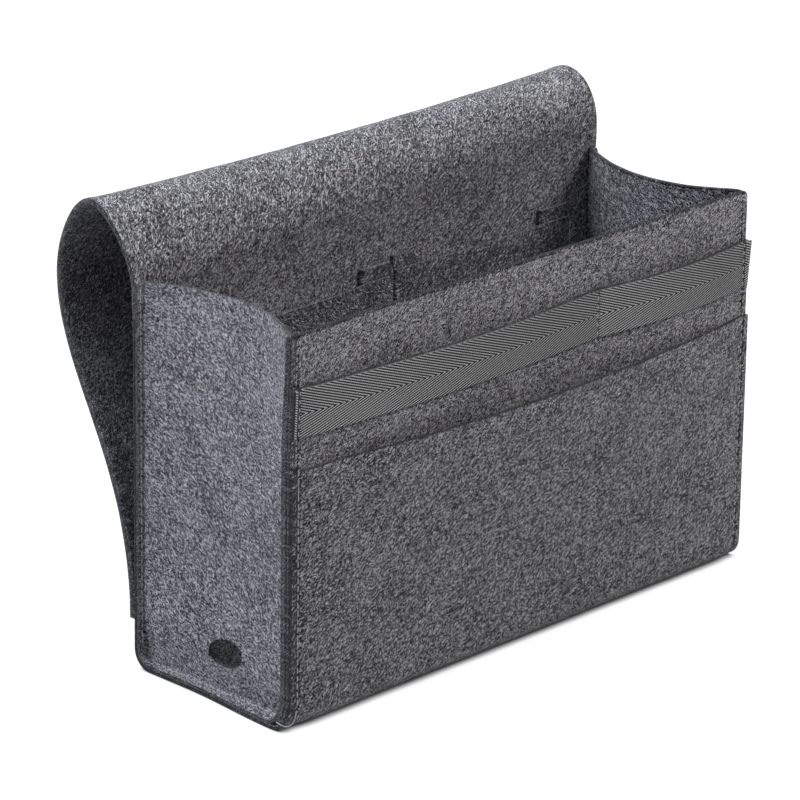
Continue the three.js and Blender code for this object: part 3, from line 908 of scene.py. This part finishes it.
def end_web(patch, side):
    """The web's grid between the creases, with the cable hole; returns the numbers along its creases."""
    down = stations(0, corner_at, upright_step)
    over = stations(corner_at, margin.length - corner_at, strip_step)

    def crease(along):
        y, z = margin.at(along)
        ny, nz = margin.left_of(along)
        return np.stack([y + crease_radius * ny, z + crease_radius * nz], -1)

    front, back = crease(down[::-1]), crease(margin.length - down[::-1])
    foot = crease(over)
    u = ((over - over[0]) / (over[-1] - over[0]))[None, :, None]
    v = ((corner_at - down[::-1]) / corner_at)[:, None, None]
    top = front[-1] + (back[-1] - front[-1]) * u[0]
    flat = (1 - v) * foot[None] + v * top[None] + (1 - u) * front[:, None] + u * back[:, None]
    flat -= (1 - u) * (1 - v) * front[0] + u * (1 - v) * back[0] + (1 - u) * v * front[-1] + u * v * back[-1]
    y, z = flat[..., 0], flat[..., 1]
    x = web_at(y, z, side) - half_length
    numbers = patch.add(np.stack([x, y, z], -1).reshape(-1, 3), flat.reshape(-1, 2)).reshape(y.shape)
    clear = np.abs(y - hole_centre[0]) < hole_width / 2 + hole_border
    clear &= np.abs(z - hole_centre[1]) < hole_height / 2 + hole_border
    rows, columns = np.flatnonzero(clear.any(1)), np.flatnonzero(clear.any(0))
    low, high, left, right = rows[0], rows[-1], columns[0], columns[-1]
    for row in range(len(y) - 1):
        for column in range(y.shape[1] - 1):
            if low <= row < high and left <= column < right:
                continue
            patch.join(numbers[row, column : column + 2], numbers[row + 1, column : column + 2])
    block = numbers[low : high + 1, left : right + 1]
    around = np.concatenate([block[0, :-1], block[:-1, -1], block[-1, :0:-1], block[:0:-1, 0]])
    end_hole(patch, around, side)
    edge = np.concatenate([numbers[::-1, 0], numbers[0, 1:], numbers[1:, -1]])
    along = np.concatenate([down, over[1:], (margin.length - down[::-1])[1:]])
    return edge, along


def end_hole(patch, around, side):
    """Rings of quads from a block of the web in to the oval cable hole."""
    flat = np.array(patch.cloth)[around]
    offset = flat - np.array(hole_centre)
    cosine, sine = math.cos(hole_tilt), math.sin(hole_tilt)
    axes = np.array([[cosine, sine], [-sine, cosine]])
    offset = offset @ axes.T
    angle = np.arctan2(offset[:, 1] / hole_height, offset[:, 0] / hole_width)
    oval = np.stack([hole_width / 2 * np.cos(angle), hole_height / 2 * np.sin(angle)], -1)
    oval = np.array(hole_centre) + oval @ axes
    ring = np.append(around, around[0])
    for share in (0.6, 0.3, 0.1, 0):
        inner = oval + (flat - oval) * share
        x = web_at(inner[:, 0], inner[:, 1], side) - half_length
        numbers = patch.add(np.column_stack([x, inner]), inner)
        closer = np.append(numbers, numbers[0])
        patch.join(ring, closer)
        ring = closer


def end_margins(patch, edge, along, side):
    """Turns the web's three sides out through a round crease into flat margins."""
    y, z = margin.at(along)
    ny, nz = margin.left_of(along)
    flat_width = web_at(y + crease_radius * ny, z + crease_radius * nz, side) - crease_radius
    turn = [math.radians(angle) for angle in (60, 30, 0)]
    section = [(1, math.sin(a), 1 - math.cos(a), a) for a in turn]
    section += [(share, 0, 0, 0) for share in (0.75, 0.5, 0.25, 0.1, 0)]
    row = edge
    for share, out, inset, angle in section:
        width = share * flat_width + out * crease_radius
        here_y, here_z = y + inset * crease_radius * ny, z + inset * crease_radius * nz
        run = crease_radius * angle - (1 - share) * flat_width
        cloth = np.stack([y + run * ny, z + run * nz], -1)
        numbers = patch.add(np.stack([width - half_length, here_y, here_z], -1), cloth)
        patch.join(numbers, row)
        row = numbers


def end_panel(side, word):
    patch = Patch()
    edge, along = end_web(patch, side)
    end_margins(patch, edge, along, side)
    points, cloth, quads = np.array(patch.points), np.array(patch.cloth), np.array(patch.quads)
    inside = half_length + points[:, 0] - web_at(points[:, 1], points[:, 2], side)
    hold = ease(-inside, *margin_hold)
    points = uneven(points, quads, hold, 31 + side)
    half = (felt + (margin_pressed - felt) * hold) / 2
    if side < 0:
        near_front = 1 - ease(points[:, 1], margin_front, margin_front + corner_lean_depth)
        points[:, 1] += near_front * np.minimum(corner_give(-half_length, points[:, 2]), 0)
        points = spread_foot(points)
    points[:, 2] -= rounded_corner(points[:, 0], points[:, 2])
    points[:, 0] *= -side
    if side > 0:
        quads = quads[:, ::-1]
    cloth = cloth + np.array([END_SHIFT * side, 0])
    piece = sheet_piece(f"end_panel_{word}_felt", points, quads, cloth, half)
    width = margin_back - margin_front + front_margin + back_margin
    height = rim_height - margin_foot + front_margin
    area = width * height - math.pi * hole_width * hole_height / 4
    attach(dress(piece, (felt_end, felt_cut), "felt", f"end_panel_{word}"), "caddy")


# Pleated pockets inside the back
def pocket_line(far):
    """Seen from above: distance from the seam between the pockets, and depth in front of the back."""
    radii = (inner_pitch / 2, inner_pitch / 2)

    def fold(along, start, end, bulge):
        turn = arc((along, (start + end) / 2), radii, 90, 90 - 180 * bulge, steps=9)
        return turn if start > end else turn[::-1]

    points = [(pocket_start, pleat_first)]
    points += fold(pleat_start + pleat_width, pleat_first, pleat_second, 1)
    points += fold(pleat_start + inner_pitch / 2, pleat_second, pleat_third, -1)
    points += fold(far - inner_pitch / 2, pleat_second, pleat_third, 1)[::-1]
    points += fold(far - pleat_width, pleat_first, pleat_second, -1)[::-1]
    return Line(points + [(far + pocket_tab, pleat_first)])


def inner_pocket(outward, word):
    far = inner_end - outward * inner_divide
    line = pocket_line(far)
    along = thinned(np.union1d(stations(0, line.length, strip_step), line.lengths))
    up = stations(0, 1, pocket_row_share)
    t, rise = grid_of(along, up)
    reach, depth = line.at(t)
    forward = (pleat_first - depth) / (pleat_first - pleat_third)
    loose = between(reach, pleat_start + pleat_width + inner_pitch, far - pleat_width - inner_pitch, 0.6)
    closed = (pleat_first - pleat_third) * (1 - rise) ** 2
    y = depth + loose * (closed - pocket_gape[outward] * rise**2)
    top = inner_top[outward] + pleat_rise * np.clip(2 - 2 * forward, 0, 1)
    z = inner_foot + (top - inner_foot) * rise
    points = np.stack([inner_divide + outward * reach, y, z], -1)
    quads = grid_quads(len(up), len(along), flip=outward < 0)
    cloth = np.stack([t + POCKET_SHIFT * outward, z], -1)
    piece = sheet_piece(f"inner_pocket_{word}_felt", points, quads, cloth, inner_felt / 2)
    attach(dress(piece, (felt_inside, felt_rim), "felt", f"inner_pocket_{word}"), "caddy")


# Stitches: each is a short bowed thread that dives into the felt at both ends
class Threads:
    """Points, faces and flat places of tubes of thread, gathered a tube at a time."""

    def __init__(self):
        self.points, self.faces, self.places = [], [], []

    def add(self, centres, radii, facing):
        """A tube through the centres, flattened a little towards the side that it faces."""
        around = np.radians(np.arange(0, 360, 60))
        count, first = len(around), len(self.points)
        run = unit(np.gradient(centres, axis=0))
        aside = unit(np.cross(run, facing))
        lengths = np.concatenate([[0], np.cumsum(np.linalg.norm(np.diff(centres, axis=0), axis=1))])
        for centre, side, radius in zip(centres, aside, radii):
            for angle in around:
                spoke = side * math.cos(angle) + thread_flatness * facing * math.sin(angle)
                self.points.append(centre + radius * spoke)
        for ring in range(len(centres) - 1):
            for turn in range(count):
                a, b = first + ring * count + turn, first + ring * count + (turn + 1) % count
                self.faces.append([a, b, b + count, a + count])
                u0, u1 = lengths[ring], lengths[ring + 1]
                v0, v1 = turn * 0.4 * MM, (turn + 1) * 0.4 * MM
                place = np.array([(u0, v0), (u0, v1), (u1, v1), (u1, v0)])
                self.places.append(place + 0.01 * len(self.faces) * MM)
        self.faces.append([first + turn for turn in range(count)][::-1])
        self.faces.append([first + (len(centres) - 1) * count + turn for turn in range(count)])
        self.places += [np.full((count, 2), 0.001)] * 2


def stitch_mesh(name, rows, node, loose_end=()):
    """rows holds each stitch's two ends and the direction that its cloth faces."""
    share = np.array([0, 0.08, 0.22, 0.5, 0.78, 0.92, 1])
    plump = 0.5 + 0.5 * np.sin(math.pi * share) ** 0.5
    lift = thread_radius * (1.5 * np.sin(math.pi * share) ** 0.5 - 1.1)
    threads = Threads()
    for start, end, facing in rows:
        start, end, facing = np.array(start), np.array(end), unit(np.array(facing, float))
        centres = start + (end - start) * share[:, None] + facing * lift[:, None]
        threads.add(centres, thread_radius * plump, facing)
    stitch_faces = len(threads.faces)
    if len(loose_end):
        threads.add(loose_end, np.full(len(loose_end), 0.8 * thread_radius), np.array([-0.6, -0.8, 0]))
    loose_faces = len(threads.faces) - stitch_faces
    piece = new_piece(name, threads.points, threads.faces, threads.places, cut_faces=loose_faces)
    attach(dress(piece, (thread, loose_thread), "thread", node), "caddy")


def loose_thread_line():
    """The thread left hanging where the left front seam ends, curling round the corner."""
    corner = np.array([-half_length - 0.7 * foot_spread, strip_front, 0])
    knots = [(5.2, 0.4, 11.5), (4.8, 1.0, 7), (3.6, 1.8, 4.2)]
    knots += [(1.0, 2.2, 3.6), (-0.9, 4, 4.4), (-1.0, 8, 5.0)]
    knots = corner + MM * np.array(knots)
    path = np.concatenate([[0], np.cumsum(np.linalg.norm(np.diff(knots, axis=0), axis=1))])
    along = np.linspace(0, path[-1], 31)
    rough = np.stack([np.interp(along, path, knots[:, axis]) for axis in range(3)], -1)
    for _ in range(6):
        rough[1:-1] = (rough[:-2] + 2 * rough[1:-1] + rough[2:]) / 4
    return rough


def stitches(start, end, place, facing):
    """Stitches about a pitch apart from start to end; place gives the point of the seam at each."""
    count = max(1, round((end - start) / stitch_pitch))
    ends = np.linspace(start, end, count + 1)
    return [(place(a + stitch_gap), place(b - stitch_gap), facing) for a, b in zip(ends, ends[1:])]


def front_seam(side):
    """The seam's stitches on each layer of the front, and those on the inside of the margin."""
    x = side * stitch_x
    levels = (
        (fold_radius + seam_end, low_mouth, front_y - 2 * pocket_pressed - 2 * air),
        (low_mouth, tape_foot, front_y - pocket_pressed - air),
        (tape_foot, mid_mouth, front_y - pocket_pressed - tape_thickness - 2 * air),
        (mid_mouth, rim_height - seam_end, front_y),
    )

    def on_layer(face):
        return lambda z: (x, face + corner_give(x, z), z)

    rows = []
    for number, (foot, top, face) in enumerate(levels):
        sunk = front_left_sink if side < 0 and number == 0 else 1
        rows += stitches(foot, top, on_layer(face + sunk * groove_depth), (0, -1, 0))
    inside = on_layer(front_y + panel_pressed + air + margin_pressed)
    return rows + stitches(fold_radius + seam_end, rim_height - seam_end, inside, (0, 1, 0))


def back_seam(side):
    x = side * (half_length - back_margin / 2 - 0.3 * MM)
    inside = back_y - back_pressed - air - margin_pressed
    span = (fold_radius + seam_end, rim_height - seam_end)
    rows = stitches(*span, lambda z: (x, inside, z), (0, -1, 0))
    return rows + stitches(*span, lambda z: (x, back_y - groove_depth, z), (0, 1, 0))


def bottom_seam(side):
    x = side * stitch_x
    top = back_pressed + air + margin_pressed
    span = (margin_front + margin_radius, margin_back - margin_radius)
    return stitches(*span, lambda y: (x, y, top), (0, 0, 1))


def divide_seam():
    def on_pocket(z):
        return divide_x, mid_pocket_middle(divide_x, z) - felt / 2 + 0.1 * MM, z

    def on_tape(z):
        return divide_x, tape_middle(divide_x, z) - tape_thickness / 2 + groove_depth, z

    rows = stitches(low_mouth - divide_seam_drop, tape_foot, on_pocket, (0, -1, 0))
    return rows + stitches(tape_foot, mid_mouth - seam_end, on_tape, (0, -1, 0))


def inner_edge(side):
    x = side * inner_stitch_x
    span = (inner_foot + seam_end, inner_top[side] - seam_end)
    return stitches(*span, lambda z: (x, pleat_third - inner_felt, z), (0, -1, 0))


def make_seams():
    for side, word in SIDES:
        loose_end = loose_thread_line() if side < 0 else ()
        stitch_mesh(f"front_seam_stitches_{word}", front_seam(side), f"front_seam_thread_{word}", loose_end)
        stitch_mesh(f"back_seam_stitches_{word}", back_seam(side), f"back_seam_thread_{word}")
        stitch_mesh(f"bottom_seam_stitches_{word}", bottom_seam(side), f"bottom_seam_thread_{word}")
        stitch_mesh(f"inner_edge_stitches_{word}", inner_edge(side), f"inner_edge_thread_{word}")
    stitch_mesh("pocket_divide_stitches", divide_seam(), "pocket_divide_thread")


make_strip()
make_front()
make_webbing()
for make_piece in (end_panel, inner_pocket):
    for side, word in SIDES:
        make_piece(side, word)
make_seams()

# Floor, light and camera
FLOOR_SIZE = 8.0
FLOOR_GLOW = 0.8
FLOOR_GREY = 0.4
CONTACT_REACH = 5 * MM
WORLD_LIGHT = (0.87, 0.87, 1.0)
WORLD_STRENGTH = 0.06
LAMPS = (
    ("key_lamp", (-3.9, 0.7, 2.3), 2.0, 92.0, (0.84, 0.87, 1.0)),
    ("front_lamp", (1.8, -2.6, 3.2), 2.0, 92.0, (1.0, 0.97, 0.97)),
    ("top_lamp", (-0.3, -0.3, 4.6), 2.8, 44.0, (0.90, 0.96, 1.0)),
    ("back_lamp", (-0.8, 1.6, 4.2), 2.4, 92.0, (0.86, 0.89, 1.0)),
)
LAMP_AIM = Vector((0, 0, 0.1))


def background_rays(shade):
    """1 for rays that show the background: from the camera, and by way of shine or glass."""
    seen = shade.node("ShaderNodeLightPath", outlet="Is Camera Ray")
    for kind in ("Is Glossy Ray", "Is Transmission Ray"):
        seen = shade.math("MAXIMUM", seen, shade.node("ShaderNodeLightPath", outlet=kind))
    return seen


def make_floor():
    mesh = bpy.data.meshes.new("floor")
    reach = FLOOR_SIZE / 2
    corners = [(-reach, -reach, 0), (reach, -reach, 0), (reach, reach, 0), (-reach, reach, 0)]
    mesh.from_pydata(corners, [], [(0, 1, 2, 3)])
    floor = bpy.data.objects.new("floor", mesh)
    bpy.context.scene.collection.objects.link(floor)
    material = bpy.data.materials.new("pale_floor")
    material.use_nodes = True
    shade = Shade(material.node_tree)
    surface = material.node_tree.nodes["Principled BSDF"]
    surface.inputs["Base Color"].default_value = (FLOOR_GREY, FLOOR_GREY, FLOOR_GREY, 1)
    surface.inputs["Roughness"].default_value = 0.9
    surface.inputs["Specular IOR Level"].default_value = 0.0
    plain = Shade(shade.tree, surface.outputs[0])
    glow = shade.node("ShaderNodeEmission", {}, {"Strength": FLOOR_GLOW})
    white = shade.node("ShaderNodeAddShader", {}, {0: plain, 1: glow})
    # Near the object the camera sees the plain floor without its glow, faded by ambient occlusion over
    # CONTACT_REACH: a painted contact shadow on top of the floor's real shadow
    clear = shade.node("ShaderNodeAmbientOcclusion", {"samples": 12}, {"Distance": CONTACT_REACH}, "AO")
    share = background_rays(shade) * clear.step(0.05, 0.8)
    both = shade.node("ShaderNodeMixShader", {}, {0: share, 1: plain, 2: white})
    output = material.node_tree.nodes["Material Output"]
    material.node_tree.links.new(both.socket, output.inputs["Surface"])
    mesh.materials.append(material)


def make_world():
    world = bpy.data.worlds.new("studio")
    bpy.context.scene.world = world
    world.use_nodes = True
    shade = Shade(world.node_tree)
    seen = background_rays(shade)
    soft = shade.node("ShaderNodeBackground", {}, {"Color": (*WORLD_LIGHT, 1), "Strength": WORLD_STRENGTH})
    white = shade.node("ShaderNodeBackground", {}, {"Color": (1, 1, 1, 1), "Strength": 1.0})
    both = shade.node("ShaderNodeMixShader", {}, {0: seen, 1: soft, 2: white})
    output = world.node_tree.nodes["World Output"]
    world.node_tree.links.new(both.socket, output.inputs["Surface"])


def make_lamps():
    for name, place, size, power, colour in LAMPS:
        lamp = bpy.data.lights.new(name, "AREA")
        lamp.shape = "DISK"
        lamp.size = size
        lamp.energy = power
        lamp.color = colour
        holder = bpy.data.objects.new(name, lamp)
        holder.location = place
        holder.rotation_euler = (LAMP_AIM - Vector(place)).to_track_quat("-Z", "Y").to_euler()
        bpy.context.scene.collection.objects.link(holder)


# The photograph's view, as a lens, a place and three angles
IMAGE_PIXELS = 800
FOCAL_PIXELS = 4850
VIEW_TURN = math.radians(46.16)
VIEW_DROP = math.radians(20.30)
VIEW_ROLL = math.radians(0.97)
VIEW_DISTANCE = 2.459
VIEW_TARGET = Vector((0, front_y + 60 * MM, 110 * MM))
VIEW_CENTRE = (438.4, 405.5)


def make_camera():
    ahead = Vector((
        math.sin(VIEW_TURN) * math.cos(VIEW_DROP),
        math.cos(VIEW_TURN) * math.cos(VIEW_DROP),
        -math.sin(VIEW_DROP),
    ))
    right = ahead.cross(Vector((0, 0, 1))).normalized()
    up = right.cross(ahead)
    across = right * math.cos(VIEW_ROLL) + up * math.sin(VIEW_ROLL)
    upward = up * math.cos(VIEW_ROLL) - right * math.sin(VIEW_ROLL)
    lens = bpy.data.cameras.new("camera")
    lens.sensor_width = 36
    lens.lens = FOCAL_PIXELS * lens.sensor_width / IMAGE_PIXELS
    lens.shift_x = (IMAGE_PIXELS / 2 - VIEW_CENTRE[0]) / IMAGE_PIXELS
    lens.shift_y = (VIEW_CENTRE[1] - IMAGE_PIXELS / 2) / IMAGE_PIXELS
    lens.clip_start = 0.05
    lens.clip_end = 50
    camera = bpy.data.objects.new("camera", lens)
    axes = Matrix((across, upward, -ahead)).transposed().to_4x4()
    camera.matrix_world = Matrix.Translation(VIEW_TARGET - ahead * VIEW_DISTANCE) @ axes
    bpy.context.scene.collection.objects.link(camera)
    bpy.context.scene.camera = camera


make_floor()
make_world()
make_lamps()
make_camera()
bpy.context.scene.view_settings.view_transform = "Standard"
